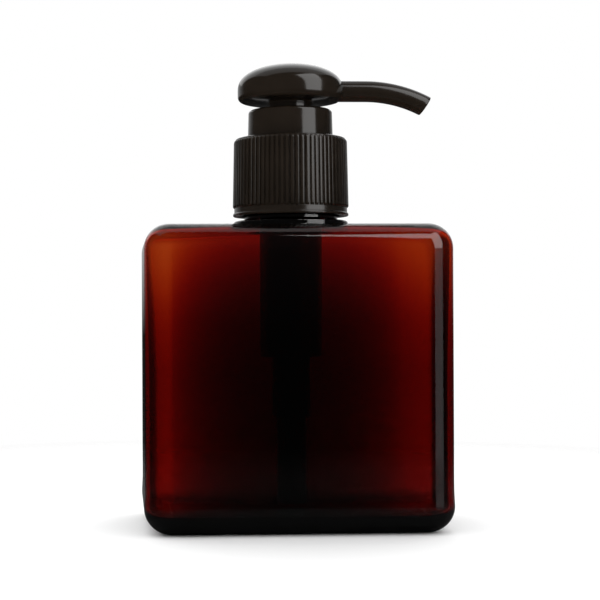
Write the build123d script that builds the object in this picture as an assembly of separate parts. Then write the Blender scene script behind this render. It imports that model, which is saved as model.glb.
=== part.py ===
from build123d import *
import os
from math import sqrt

# Soap pump dispenser: a square amber bottle with a screw-on lotion pump, head pressed down.
# Millimetres. The origin is on the floor under the pump's axis, +Z is up, +X is along the nozzle.

# ---- driving dimensions -------------------------------------------------------------------

# bottle body
body_width = 81.6
body_depth = 50.0
body_height = 80.8
upright_edge_radius = 7.5
shoulder_edge_radius = 6.5
base_edge_radius = 7.4
bottle_wall = 1.7
base_thickness = 3.2
base_hollow = 1.0
base_rim_width = 9.0

# bottle neck, a 28/410 screw finish
neck_height = 19.1
neck_radius = 12.65
neck_bore_gap = 1.45
transfer_ring_radius = 15.5
transfer_ring_height = 1.6
thread_pitch = 25.4 / 6
thread_turns = 1.5
thread_crest_radius = 13.8
thread_root_width = 2.3
thread_crest_width = 1.1
thread_below_rim = 2.6

# screw closure
closure_draft = 0.35
closure_wall = 1.65
closure_top = 1.5
closure_ring_gap = 1.4
closure_band_height = 2.3
closure_band_inset = 0.35
closure_edge_radius = 1.3
rib_count = 72
rib_depth = 0.5
groove_floor_width = 0.3
groove_mouth_width = 0.62
closure_thread_root_width = 1.9
closure_thread_crest_width = 0.8

# clamped stack between the bottle's rim and the closure's top
gasket_thickness = 1.2
housing_flange_thickness = 1.2
sleeve_flange_thickness = 1.2
flange_inset = 0.9
gasket_inset = 0.2

# pump housing
chamber_radius = 7.35
housing_top_wall = 1.2
housing_base_wall = 0.65
housing_length = 56.9
housing_floor = 1.4
inlet_length = 15.8
inlet_socket_wall = 1.1
vent_radius = 0.6

# inlet valve and dip tube
ball_radius = 2.5
ball_lift = 2.0
ball_side_gap = 0.6
ball_seat_hole_radius = 1.5
ball_seat_web = 1.6
ball_keeper_grip = 0.3
ball_keeper_thickness = 0.8
ball_keeper_slot = 1.6
dip_tube_radius = 3.8
dip_tube_wall = 0.8
dip_tube_socket = 5.0
dip_tube_floor_gap = 1.8

# plunger
stroke = 15.0
spring_wire_radius = 0.5
spring_inset = 0.2
spring_turns = 8.0
spring_pressed_length = 17.2
stem_radius = 4.0
stem_wall = 1.4
stem_engagement = 4.0
disc_flow_gap = 1.05
valve_disc_thickness = 1.4
valve_plug_length = 6.8
flute_width = 1.2
flute_depth = 1.3
piston_float = 1.15
piston_height = 6.0
piston_hub_wall = 1.85
piston_bore_gap = 0.15
piston_web = 1.2
piston_lip_wall = 0.6
piston_lip_height = 6.6

# lock sleeve
sleeve_wall = 4.3
sleeve_draft = 0.25
sleeve_height = 7.7
sleeve_edge_radius = 0.9
sleeve_floor = 1.5
plug_wall = 1.33
lock_pitch = 3.0
lock_turns = 0.9
lock_thread_depth = 0.85
lock_root_width = 1.3
lock_crest_width = 0.7

# actuator and dome
lock_travel = 2.4
boss_wall = 2.15
boss_length = 6.7
hub_height = 5.9
disc_thickness = 1.3
dome_radius = 14.3
dome_height = 10.1
crown_radius = 30.0
dome_shoulder_radius = 6.0
dome_edge_radius = 1.3
dome_wall = 1.5
nozzle_radius = 2.8
nozzle_bore_radius = 1.7
nozzle_lift = 0.1
riser_headroom = 0.4
hub_edge_radius = 0.5
nozzle_straight = 20.6
nozzle_bend_radius = 36.0
nozzle_bend_angle = 27.5
nozzle_cut_angle = 33.0

# ---- clearances -----------------------------------------------------------------------------

running_gap = 0.05
seat_gap = 0.02
thread_gap = 0.3
closure_hole_gap = 0.2
lock_gap = 0.25
embed = 0.4
nozzle_notch_gap = 0.1

# ---- radii that follow from them ------------------------------------------------------------

housing_top_radius = chamber_radius + housing_top_wall
housing_base_radius = chamber_radius + housing_base_wall
neck_bore_radius = housing_top_radius + neck_bore_gap
closure_bore_radius = thread_crest_radius + thread_gap
closure_radius = closure_bore_radius + closure_wall
closure_thread_depth = closure_bore_radius - neck_radius - thread_gap
flange_radius = closure_bore_radius - flange_inset
gasket_radius = flange_radius - gasket_inset
inlet_radius = dip_tube_radius + inlet_socket_wall
inlet_bore_radius = ball_radius + ball_side_gap
ball_keeper_bore_radius = ball_radius - ball_keeper_grip
valve_disc_radius = chamber_radius - disc_flow_gap
spring_radius = valve_disc_radius - spring_inset - spring_wire_radius
stem_bore_radius = stem_radius - stem_wall
piston_bore_radius = stem_bore_radius + piston_bore_gap
piston_hub_radius = piston_bore_radius + piston_hub_wall
plug_radius = chamber_radius - seat_gap
plug_bore_radius = plug_radius - plug_wall
boss_radius = stem_radius + running_gap + boss_wall
sleeve_bore_radius = boss_radius + lock_thread_depth + lock_gap
sleeve_radius = sleeve_bore_radius + sleeve_wall
disc_radius = dome_radius - dome_wall - running_gap

# ---- heights that follow from them ----------------------------------------------------------

rim_z = body_height + neck_height
gasket_top_z = rim_z + gasket_thickness
housing_top_z = gasket_top_z + housing_flange_thickness
sleeve_flange_top_z = housing_top_z + sleeve_flange_thickness
closure_top_z = sleeve_flange_top_z + closure_top
closure_base_z = body_height + transfer_ring_height + closure_ring_gap
sleeve_top_z = closure_top_z + sleeve_height
head_z = sleeve_top_z + lock_travel
head_top_z = head_z + dome_height

housing_step_z = housing_top_z - housing_length
chamber_floor_z = housing_step_z + housing_floor
inlet_base_z = housing_step_z - inlet_length
ball_seat_z = inlet_base_z + dip_tube_socket + ball_seat_web
disc_under_z = chamber_floor_z + spring_pressed_length
disc_top_z = disc_under_z + valve_disc_thickness
piston_base_z = disc_top_z + piston_float + running_gap
piston_top_z = piston_base_z + piston_height
stem_base_z = piston_top_z + seat_gap
piston_lip_base_z = piston_base_z + (piston_height - piston_lip_height) / 2
piston_lip_top_z = piston_lip_base_z + piston_lip_height
plug_base_z = piston_lip_top_z + stroke + thread_gap
vent_z = piston_lip_base_z + stroke + piston_lip_height / 2
boss_base_z = head_z - boss_length
stem_top_z = boss_base_z + stem_engagement

nozzle_z = head_z + nozzle_radius + nozzle_lift
ball_centre_z = ball_seat_z - ball_seat_hole_radius + ball_radius * sqrt(2) + seat_gap

os.makedirs("parts", exist_ok=True)


# ---- helpers ----------------------------------------------------------------------------------

def tube_stretch(radius, base_z, top_z, top_radius=None):
    """An upright solid cylinder, or a cone if top_radius is given."""
    height = top_z - base_z
    if top_radius is None:
        solid = Cylinder(radius, height)
    else:
        solid = Cone(radius, top_radius, height)
    return Pos(0, 0, (base_z + top_z) / 2) * solid


def rounded_block(width, depth, base_z, top_z, upright, top, base):
    """A block with its upright, top and base edges rounded to three radii."""
    block = Pos(0, 0, (base_z + top_z) / 2) * Box(width, depth, top_z - base_z)
    block = fillet(block.edges().filter_by(Axis.Z), upright)
    block = fillet(block.edges().group_by(Axis.Z)[-1], top)
    return fillet(block.edges().group_by(Axis.Z)[0], base)


def helical_ridge(root_radius, depth, root_width, crest_width, pitch, turns, start_z):
    """A thread ridge from root_radius; a positive depth stands outwards, a negative one inwards."""
    path = Helix(pitch, pitch * turns, root_radius)
    side = 1 if depth > 0 else -1
    outline = Polygon(
        (-side * embed, -root_width / 2),
        (depth, -crest_width / 2),
        (depth, crest_width / 2),
        (-side * embed, root_width / 2),
        align=None,
    )
    plane = Plane(origin=path @ 0, x_dir=(1, 0, 0), z_dir=path % 0)
    return Pos(0, 0, start_z) * sweep(plane * outline, path=path, is_frenet=True)


def spun(*edges):
    """A solid of revolution about Z from a closed outline drawn in the XZ plane."""
    return revolve(make_face(edges), Axis.Z)


def save(name, solid):
    solid.label = name
    export_step(solid, f"parts/{name}.step")


# ---- bottle -----------------------------------------------------------------------------------

def bottle():
    body = rounded_block(
        body_width, body_depth, 0, body_height,
        upright_edge_radius, shoulder_edge_radius, base_edge_radius,
    )
    neck = tube_stretch(neck_radius, body_height - bottle_wall, rim_z)
    ring_top_z = body_height + transfer_ring_height
    ring = tube_stretch(transfer_ring_radius, body_height - bottle_wall / 2, ring_top_z)
    ring = fillet(ring.edges().group_by(Axis.Z)[-1], transfer_ring_height / 2)
    thread_base_z = rim_z - thread_below_rim - thread_pitch * thread_turns
    thread = helical_ridge(
        neck_radius, thread_crest_radius - neck_radius, thread_root_width, thread_crest_width,
        thread_pitch, thread_turns, thread_base_z,
    )
    cavity = rounded_block(
        body_width - 2 * bottle_wall, body_depth - 2 * bottle_wall,
        base_thickness + base_hollow, body_height - bottle_wall,
        upright_edge_radius - bottle_wall, shoulder_edge_radius - bottle_wall,
        base_edge_radius - base_thickness,
    )
    bore = tube_stretch(neck_bore_radius, body_height - 2 * bottle_wall, rim_z)
    inset = 2 * base_rim_width
    hollow = Pos(0, 0, base_hollow / 2) * Box(body_width - inset, body_depth - inset, base_hollow)
    hollow = fillet(hollow.edges().filter_by(Axis.Z), upright_edge_radius / 2)
    return body + neck + ring + thread - cavity - bore - hollow


# ---- screw closure ----------------------------------------------------------------------------

def closure():
    band_radius = closure_radius - closure_band_inset
    band_top_z = closure_base_z + closure_band_height
    band = tube_stretch(band_radius, closure_base_z, band_top_z)
    skirt = tube_stretch(closure_radius, band_top_z, closure_top_z, closure_radius - closure_draft)
    skirt = fillet(skirt.edges().group_by(Axis.Z)[-1], closure_edge_radius)
    bore = tube_stretch(closure_bore_radius, closure_base_z, sleeve_flange_top_z)
    hole = tube_stretch(sleeve_radius + closure_hole_gap, sleeve_flange_top_z, closure_top_z)
    male_base_z = rim_z - thread_below_rim - thread_pitch * thread_turns
    thread = helical_ridge(
        closure_bore_radius, -closure_thread_depth,
        closure_thread_root_width, closure_thread_crest_width,
        thread_pitch, thread_turns, male_base_z - thread_pitch / 2,
    )
    return band + (skirt - closure_grooves(band_top_z)) - bore - hole + thread


def closure_grooves(base_z):
    """The narrow grooves between the grip ribs, leaning in with the skirt's draft."""
    height = closure_top_z - base_z
    floor = closure_radius - rib_depth
    mouth = closure_radius + rib_depth
    spread = groove_mouth_width - groove_floor_width
    half_mouth = groove_floor_width / 2 + spread
    outline = Polygon(
        (floor, -groove_floor_width / 2), (mouth, -half_mouth),
        (mouth, half_mouth), (floor, groove_floor_width / 2), align=None,
    )
    upper = Pos(-closure_draft, 0, height) * outline
    groove = Pos(0, 0, base_z) * loft([outline, upper])
    return [Rot(0, 0, 360 * i / rib_count) * groove for i in range(rib_count)]


# ---- clamped stack ----------------------------------------------------------------------------

def gasket():
    ring = tube_stretch(gasket_radius, rim_z, gasket_top_z)
    return ring - tube_stretch(housing_top_radius + closure_hole_gap, rim_z, gasket_top_z)


def lock_sleeve():
    collar = tube_stretch(
        sleeve_radius, sleeve_flange_top_z, sleeve_top_z, sleeve_radius - sleeve_draft,
    )
    collar = fillet(collar.edges().group_by(Axis.Z)[-1], sleeve_edge_radius)
    flange = tube_stretch(flange_radius, housing_top_z, sleeve_flange_top_z)
    plug = tube_stretch(plug_radius, plug_base_z, housing_top_z)
    bore_floor_z = sleeve_flange_top_z + seat_gap
    bore = tube_stretch(sleeve_bore_radius, bore_floor_z, sleeve_top_z)
    plug_bore = tube_stretch(plug_bore_radius, plug_base_z, bore_floor_z - sleeve_floor)
    guide = tube_stretch(stem_radius + running_gap, bore_floor_z - sleeve_floor, bore_floor_z)
    thread = helical_ridge(
        sleeve_bore_radius, -lock_thread_depth, lock_root_width, lock_crest_width,
        lock_pitch, lock_turns, bore_floor_z + lock_root_width,
    )
    return collar + flange + plug - bore - plug_bore - guide + thread


# ---- pump housing -----------------------------------------------------------------------------

def pump_housing():
    flange = tube_stretch(flange_radius, gasket_top_z, housing_top_z)
    barrel = tube_stretch(
        housing_base_radius, housing_step_z, gasket_top_z, housing_top_radius,
    )
    barrel = fillet(barrel.edges().group_by(Axis.Z)[0], housing_floor / 2)
    inlet = tube_stretch(inlet_radius, inlet_base_z, housing_step_z)
    chamber = tube_stretch(chamber_radius, chamber_floor_z, housing_top_z)
    socket = tube_stretch(dip_tube_radius, inlet_base_z, inlet_base_z + dip_tube_socket)
    seat_hole = tube_stretch(ball_seat_hole_radius, inlet_base_z, ball_seat_z)
    seat_top_z = ball_seat_z + inlet_bore_radius - ball_seat_hole_radius
    seat = tube_stretch(ball_seat_hole_radius, ball_seat_z, seat_top_z, inlet_bore_radius)
    valve_bore = tube_stretch(inlet_bore_radius, seat_top_z, chamber_floor_z)
    vent = Pos(0, -housing_top_radius, vent_z) * Rot(90, 0, 0) * Cylinder(vent_radius, chamber_radius)
    shell = flange + barrel + inlet - chamber - socket - seat_hole - seat - valve_bore - vent
    return shell + ball_keeper()


def ball_keeper():
    """A moulded ring that the ball is pressed past, slotted so that soap flows round the ball."""
    base_z = ball_centre_z + ball_radius + ball_lift + seat_gap
    # the ball's crown reaches a little way into the ring before it stops
    crown = ball_radius - sqrt(ball_radius ** 2 - ball_keeper_bore_radius ** 2)
    base_z = base_z - crown + running_gap
    top_z = base_z + ball_keeper_thickness
    ring = tube_stretch(inlet_bore_radius + embed, base_z, top_z)
    ring = ring - tube_stretch(ball_keeper_bore_radius, base_z, top_z)
    slot = Pos(0, 0, (base_z + top_z) / 2) * Box(
        2 * inlet_bore_radius - running_gap, ball_keeper_slot, ball_keeper_thickness,
    )
    return ring - slot - Rot(0, 0, 90) * slot


def inlet_ball():
    return Pos(0, 0, ball_centre_z) * Sphere(ball_radius)


def dip_tube():
    base_z = base_thickness + base_hollow + dip_tube_floor_gap
    top_z = inlet_base_z + dip_tube_socket
    tube = tube_stretch(dip_tube_radius, base_z, top_z)
    return tube - tube_stretch(dip_tube_radius - dip_tube_wall, base_z, top_z)


# ---- plunger ----------------------------------------------------------------------------------

def return_spring():
    """The compression spring at its pressed length, between the chamber floor and the valve disc."""
    end_gap = spring_wire_radius + running_gap
    length = spring_pressed_length - 2 * end_gap
    path = Helix(length / spring_turns, length, spring_radius)
    plane = Plane(origin=path @ 0, x_dir=(1, 0, 0), z_dir=path % 0)
    wire = sweep(plane * Circle(spring_wire_radius), path=path, is_frenet=True)
    return Pos(0, 0, chamber_floor_z + end_gap) * wire


def valve_stem():
    """A disc with a fluted plug: the disc seats the spring and the piston, the plug is in the stem."""
    disc = tube_stretch(valve_disc_radius, disc_under_z, disc_top_z)
    disc = chamfer(disc.edges().group_by(Axis.Z)[-1], valve_disc_thickness / 2)
    plug_top_z = stem_base_z + valve_plug_length
    plug = tube_stretch(stem_bore_radius, disc_top_z, plug_top_z)
    flute = Pos(stem_bore_radius, 0, (disc_top_z + plug_top_z) / 2) * Box(
        2 * flute_depth, flute_width, plug_top_z - disc_top_z,
    )
    for quarter in range(4):
        plug = plug - Rot(0, 0, 90 * quarter) * flute
    return disc + plug


def piston():
    """Hub, web and a double-lipped rim that wipes the chamber."""
    lip_radius = chamber_radius - running_gap
    hub = tube_stretch(piston_hub_radius, piston_base_z, piston_top_z)
    rim = tube_stretch(lip_radius, piston_lip_base_z, piston_lip_top_z)
    rim_bore = lip_radius - piston_lip_wall
    rim = rim - tube_stretch(rim_bore, piston_lip_base_z, piston_lip_top_z)
    mid_z = (piston_base_z + piston_top_z) / 2
    web = tube_stretch(lip_radius - piston_lip_wall / 2, mid_z - piston_web / 2, mid_z + piston_web / 2)
    relief = Pos(0, 0, mid_z) * Torus(lip_radius + running_gap, piston_lip_wall / 2)
    bore = tube_stretch(piston_bore_radius, piston_base_z, piston_top_z)
    return hub + rim + web - relief - bore


def stem():
    rod = tube_stretch(stem_radius, stem_base_z, stem_top_z)
    return rod - tube_stretch(stem_bore_radius, stem_base_z, stem_top_z)


# ---- head -------------------------------------------------------------------------------------

def nozzle_path(extra_angle=0):
    """The nozzle's centre line: straight out from the pump's axis, then an arc downwards."""
    run = Line((0, 0, nozzle_z), (nozzle_straight, 0, nozzle_z))
    bend = JernArc(
        start=(nozzle_straight, nozzle_z), tangent=(1, 0),
        radius=nozzle_bend_radius, arc_size=-(nozzle_bend_angle + extra_angle),
    )
    upright_plane = Plane(origin=(0, 0, 0), x_dir=(1, 0, 0), z_dir=(0, -1, 0))
    return Wire([run, (upright_plane * bend).edge()])


def nozzle_sweep(radius, path):
    return sweep(Plane(origin=(0, 0, nozzle_z), z_dir=(1, 0, 0)) * Circle(radius), path=path)


def tip_cutter():
    """A block beyond the nozzle's tip, whose near face is the slanted cut."""
    tip = nozzle_path() @ 1
    size = 6 * nozzle_radius
    return Pos(tip.X, 0, tip.Z) * Rot(0, nozzle_cut_angle, 0) * Pos(size / 2, 0, 0) * Box(size, size, size)


def actuator():
    overrun = nozzle_path(2 * (nozzle_cut_angle - nozzle_bend_angle))
    disc = tube_stretch(disc_radius, head_z, head_z + disc_thickness)
    boss = tube_stretch(boss_radius, boss_base_z, head_z + hub_height)
    boss = fillet(boss.edges().group_by(Axis.Z)[-1], hub_edge_radius)
    lock = helical_ridge(
        boss_radius, lock_thread_depth, lock_root_width, lock_crest_width,
        lock_pitch, lock_turns * 0.8, boss_base_z + lock_root_width,
    )
    socket = tube_stretch(stem_radius + running_gap, boss_base_z, stem_top_z + seat_gap)
    riser_top_z = nozzle_z + nozzle_bore_radius + riser_headroom
    riser = tube_stretch(stem_bore_radius, stem_top_z, riser_top_z)
    body = disc + boss + lock + nozzle_sweep(nozzle_radius, overrun)
    return body - tip_cutter() - nozzle_sweep(nozzle_bore_radius, overrun) - socket - riser


def dome_outline(inset):
    """Crown arc, shoulder arc and side wall of the dome, drawn inwards by inset, top first."""
    crown_centre_z = head_top_z - crown_radius
    reach = crown_radius - dome_shoulder_radius
    shoulder_x = dome_radius - dome_shoulder_radius
    shoulder_z = crown_centre_z + sqrt(reach ** 2 - shoulder_x ** 2)
    crown = crown_radius - inset
    shoulder = dome_shoulder_radius - inset
    across = shoulder_x / reach
    up = (shoulder_z - crown_centre_z) / reach
    mid_across = across / 2
    mid_up = sqrt(1 - mid_across ** 2)
    side_length = sqrt((across + 1) ** 2 + up ** 2)
    top = (0, 0, crown_centre_z + crown)
    crown_mid = (crown * mid_across, 0, crown_centre_z + crown * mid_up)
    join = (crown * across, 0, crown_centre_z + crown * up)
    shoulder_mid = (
        shoulder_x + shoulder * (across + 1) / side_length, 0,
        shoulder_z + shoulder * up / side_length,
    )
    side = (dome_radius - inset, 0, shoulder_z)
    return [ThreePointArc(top, crown_mid, join), ThreePointArc(join, shoulder_mid, side)]


def dome_cap():
    outer = dome_outline(0)
    inner = dome_outline(dome_wall)
    side_x = dome_radius - dome_wall
    low_outer = (dome_radius, 0, head_z)
    low_inner = (side_x, 0, head_z)
    shell = spun(
        *outer, Line(outer[1] @ 1, low_outer), Line(low_outer, low_inner),
        Line(low_inner, inner[1] @ 1), *inner, Line(inner[0] @ 0, outer[0] @ 0),
    )
    rim = shell.edges().filter_by(GeomType.CIRCLE).group_by(Axis.Z)[0].sort_by(SortBy.RADIUS)[-1]
    shell = fillet(rim, dome_edge_radius)
    notch_radius = nozzle_radius + nozzle_notch_gap
    round_part = Pos(dome_radius, 0, nozzle_z) * Rot(0, 90, 0) * Cylinder(notch_radius, dome_radius)
    open_part = Pos(dome_radius, 0, nozzle_z - nozzle_radius) * Box(
        dome_radius, 2 * notch_radius, 2 * nozzle_radius,
    )
    return shell - round_part - open_part


# ---- write every piece ------------------------------------------------------------------------

pieces = [
    bottle, closure, gasket, lock_sleeve, pump_housing, inlet_ball, dip_tube,
    return_spring, valve_stem, piston, stem, actuator, dome_cap,
]
for make in pieces:
    save(make.__name__, make())

print("housing vent at", round(vent_z, 2), "plug base at", round(plug_base_z, 2))
print("overall height", head_top_z, "and raised", head_top_z + stroke)
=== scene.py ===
# %% [markdown]
# # A pump bottle for liquid soap
# This lesson dresses a square amber bottle and its black lotion pump. The sizes that carry
# load or fit together are fixed already in the frame, so every piece here takes its place
# from the frame and only adds the fine shape and the finish of the real object.

# %% Load the frame
import bpy
import bmesh
from math import sin, cos, tan, acos, pi, radians, degrees
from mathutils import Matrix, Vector


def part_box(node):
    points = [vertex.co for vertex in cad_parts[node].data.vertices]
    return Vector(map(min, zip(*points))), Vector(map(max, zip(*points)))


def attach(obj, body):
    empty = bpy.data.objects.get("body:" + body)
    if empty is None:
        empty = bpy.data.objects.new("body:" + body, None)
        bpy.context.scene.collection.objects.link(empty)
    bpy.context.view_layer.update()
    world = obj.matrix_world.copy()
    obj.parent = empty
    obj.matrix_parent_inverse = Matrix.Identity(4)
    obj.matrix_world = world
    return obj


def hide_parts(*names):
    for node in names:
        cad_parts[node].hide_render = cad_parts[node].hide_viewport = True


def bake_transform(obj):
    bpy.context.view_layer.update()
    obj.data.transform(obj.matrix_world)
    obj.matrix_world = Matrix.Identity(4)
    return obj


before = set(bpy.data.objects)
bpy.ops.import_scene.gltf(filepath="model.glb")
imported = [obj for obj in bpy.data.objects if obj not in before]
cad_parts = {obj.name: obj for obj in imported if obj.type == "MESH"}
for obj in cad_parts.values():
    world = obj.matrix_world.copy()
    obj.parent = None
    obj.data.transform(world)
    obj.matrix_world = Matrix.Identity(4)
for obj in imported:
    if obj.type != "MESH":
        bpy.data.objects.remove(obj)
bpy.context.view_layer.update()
MM = 0.001

# %% [markdown]
# ## Where each piece sits
# The bottle stands on the floor with the pump's axis at its middle. The heights of the
# stack above it are read from the frame's boxes, so nothing here is placed by eye.

# %% Heights and half sizes from the frame
bottle_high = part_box("bottle")[1]
closure_low, closure_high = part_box("closure")
dome_low, dome_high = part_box("dome_cap")
spring_low, spring_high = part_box("return_spring")

HALF_WIDTH = bottle_high.x
HALF_DEPTH = bottle_high.y
RIM_Z = bottle_high.z
HEAD_Z = dome_low.z
DOME_TOP_Z = dome_high.z
CLOSURE_BASE_Z = closure_low.z
CLOSURE_TOP_Z = closure_high.z
BOSS_BASE_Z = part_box("actuator")[0].z
print("rim at", round(RIM_Z / MM, 1), "mm, head at", round(HEAD_Z / MM, 1), "mm")

# %% [markdown]
# ## Camera
# A product picture like this is taken from far away with a long lens, level with the
# middle of the bottle. The camera stands a little to the left. It is turned to the right by
# a few degrees, and a shifted lens does the rest, which keeps the upright edges upright.
# What the turn brings in is taken off the shift.

# %% Camera
CAMERA_BACK = 381 * MM
CAMERA_LEFT = 46.3 * MM
CAMERA_HEIGHT = 59 * MM
CAMERA_YAW = radians(2.45)
CAMERA_ROLL = radians(0.25)
SENSOR = 36.0
LENS = 84.0
SIDEWAYS_SHIFT = 0.2977
UPWARD_SHIFT = 0.013


def add_camera():
    data = bpy.data.cameras.new("camera")
    data.sensor_width = SENSOR
    data.lens = LENS
    data.clip_start = 10 * MM
    camera = bpy.data.objects.new("camera", data)
    bpy.context.scene.collection.objects.link(camera)
    camera.location = (-CAMERA_LEFT, -CAMERA_BACK, CAMERA_HEIGHT)
    camera.rotation_euler = (radians(90), CAMERA_ROLL, -CAMERA_YAW)
    data.shift_x = SIDEWAYS_SHIFT - tan(CAMERA_YAW) * LENS / SENSOR
    data.shift_y = UPWARD_SHIFT
    bpy.context.scene.camera = camera
    return camera


camera = add_camera()
print("lens shift:", round(camera.data.shift_x, 3), round(camera.data.shift_y, 3))

# %% [markdown]
# ## Shader maths as plain expressions
# A material is a graph of small nodes. Wrapping one output in a class that overloads
# + - * / lets a pattern be written the way it is thought of, such as `1 - mask * 0.3`.

# %% A socket that can be calculated with
class Value:
    """One output of a node that can be added, multiplied and so on."""

    def __init__(self, tree, socket):
        self.tree = tree
        self.socket = socket

    def _maths(self, operation, first, second):
        node = self.tree.nodes.new("ShaderNodeMath")
        node.operation = operation
        for slot, given in zip(node.inputs, (first, second)):
            if isinstance(given, Value):
                self.tree.links.new(given.socket, slot)
            else:
                slot.default_value = given
        return Value(self.tree, node.outputs[0])

    def __add__(self, other):
        return self._maths("ADD", self, other)

    def __radd__(self, other):
        return self._maths("ADD", other, self)

    def __sub__(self, other):
        return self._maths("SUBTRACT", self, other)

    def __rsub__(self, other):
        return self._maths("SUBTRACT", other, self)

    def __mul__(self, other):
        return self._maths("MULTIPLY", self, other)

    def __rmul__(self, other):
        return self._maths("MULTIPLY", other, self)

    def __truediv__(self, other):
        return self._maths("DIVIDE", self, other)

    def wave(self, kind):
        """The sine or cosine of this value."""
        return self._maths(kind, self, 0.0)

    def fade(self, low, high, to_low, to_high):
        """Runs from to_low to to_high while this value goes from low to high."""
        node = self.tree.nodes.new("ShaderNodeMapRange")
        self.tree.links.new(self.socket, node.inputs["Value"])
        for slot, number in zip(node.inputs[1:5], (low, high, to_low, to_high)):
            slot.default_value = number
        return Value(self.tree, node.outputs[0])


class Graph:
    """A node tree with one short way to add a node to it."""

    def __init__(self, tree):
        self.tree = tree

    def node(self, kind, settings=None, sockets=None, out=0):
        """Adds a node: its settings are set first, then the values or links of its sockets."""
        node = self.tree.nodes.new(kind)
        for key, value in (settings or {}).items():
            if key == "stops":
                self._stops(node.color_ramp, value)
            else:
                setattr(node, key, value)
        for key, value in (sockets or {}).items():
            if isinstance(value, Value):
                self.tree.links.new(value.socket, node.inputs[key])
            else:
                node.inputs[key].default_value = value
        return Value(self.tree, node.outputs[out])

    @staticmethod
    def _stops(ramp, stops):
        while len(ramp.elements) < len(stops):
            ramp.elements.new(0.5)
        for element, (place, colour) in zip(ramp.elements, stops):
            element.position = place
            element.color = colour


class Finish(Graph):
    """A material with a Principled shader, and short ways to draw patterns in it."""

    def __init__(self, name, **constants):
        self.material = bpy.data.materials.new(name)
        self.material.use_nodes = True
        super().__init__(self.material.node_tree)
        self.shader = self.tree.nodes["Principled BSDF"]
        self.output = self.tree.nodes["Material Output"]
        for socket, value in constants.items():
            self.shader.inputs[socket.replace("_", " ")].default_value = value

    def place(self):
        return self.node("ShaderNodeTexCoord", out=3)

    def noise(self, scale, detail=3.0, roughness=0.5, where=None):
        sockets = {"Scale": scale, "Detail": detail, "Roughness": roughness}
        sockets["Vector"] = where or self.place()
        return self.node("ShaderNodeTexNoise", None, sockets)

    def ramp(self, value, *stops):
        return self.node("ShaderNodeValToRGB", {"stops": stops}, {"Fac": value})

    def bump(self, height, distance, strength=1.0):
        sockets = {"Height": height, "Distance": distance, "Strength": strength}
        return self.node("ShaderNodeBump", None, sockets)

    def feed(self, socket, value):
        self.tree.links.new(value.socket, self.shader.inputs[socket])


print("shader helpers are ready")

# %% [markdown]
# ## Clear amber plastic
# The bottle is blown from PETG dyed brown. Its colour isn't on its skin: light loses its
# blue and green inside the wall, so thick places such as the middle of a face and the base
# go from orange through red to nearly black. A volume that absorbs light does this by
# itself, where a tinted skin would look equally dark everywhere. The skin is left smooth,
# with the faint waviness that blowing leaves.

# %% Amber material
ABSORPTION = 5500.0
KEPT_COLOUR = (0.82, 0.44, 0.05, 1)
WAVE_DEPTH = 0.06 * MM


def amber_plastic():
    finish = Finish("amber_petg", Base_Color=(1, 1, 1, 1), Transmission_Weight=1.0, IOR=1.56)
    smears = finish.noise(90.0, detail=4.0, roughness=0.6)
    finish.feed("Roughness", smears.fade(0.35, 0.75, 0.015, 0.05))
    waves = finish.noise(45.0, detail=1.0)
    fine = finish.noise(600.0, detail=2.0)
    finish.feed("Normal", finish.bump(waves + 0.03 * fine, WAVE_DEPTH, strength=0.6))
    volume = finish.tree.nodes.new("ShaderNodeVolumeAbsorption")
    volume.inputs["Color"].default_value = KEPT_COLOUR
    volume.inputs["Density"].default_value = ABSORPTION
    finish.tree.links.new(volume.outputs[0], finish.output.inputs["Volume"])
    return finish.material


AMBER = amber_plastic()
print("amber absorbs", ABSORPTION, "per metre")

# %% [markdown]
# ## Moulded black plastic
# The pump is moulded from polypropylene with brown-black dye. It is glossy, yet never
# perfectly even: handling leaves faint hairlines and smears, which show in the edges of
# reflections. The ribbed closure is a little duller than the polished head, and the hidden
# mouldings are satin.

# %% Black plastics
BLACK_DYE = (0.0110, 0.0078, 0.0052)
WARM_TINT = (1.0, 0.6, 0.35)
HAIRLINE_STRETCH = (1.0, 1.0, 0.08)
SKIN_DEPTH = 0.006 * MM


def black_plastic(name, gloss, warmth, hairlines):
    """Black with brown clouds; gloss is its lowest roughness, hairlines are added to it."""
    finish = Finish(name, IOR=1.49)
    clouds = finish.noise(160.0, detail=4.0, roughness=0.6)
    lighter = tuple(dye + warmth * tint for dye, tint in zip(BLACK_DYE, WARM_TINT))
    finish.feed("Base Color", finish.ramp(
        clouds, (0.3, (*BLACK_DYE, 1)), (0.75, (*lighter, 1)),
    ))
    stretched = finish.node(
        "ShaderNodeMapping", None, {"Vector": finish.place(), "Scale": HAIRLINE_STRETCH},
    )
    lines = finish.noise(2400.0, detail=2.0, where=stretched)
    rough = clouds.fade(0.3, 0.8, gloss, gloss + 0.07)
    finish.feed("Roughness", rough + hairlines * lines)
    skin = finish.noise(900.0, detail=2.0)
    finish.feed("Normal", finish.bump(skin + 0.5 * lines, SKIN_DEPTH, strength=0.5))
    return finish.material


BLACK_POLISHED = black_plastic("black_polished", 0.10, 0.004, 0.03)
BLACK_RIBBED = black_plastic("black_ribbed", 0.13, 0.006, 0.05)
BLACK_SATIN = black_plastic("black_satin", 0.35, 0.006, 0.04)
print("three black plastics are ready")

# %% [markdown]
# ## Hidden plastics and steel
# The valve, the piston and the gasket are undyed and waxy, so light goes a little way into
# them; the spring and the ball are stainless steel. They are rarely seen, but a bench view
# of the pump shows them, so each gets its own finish.

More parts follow.
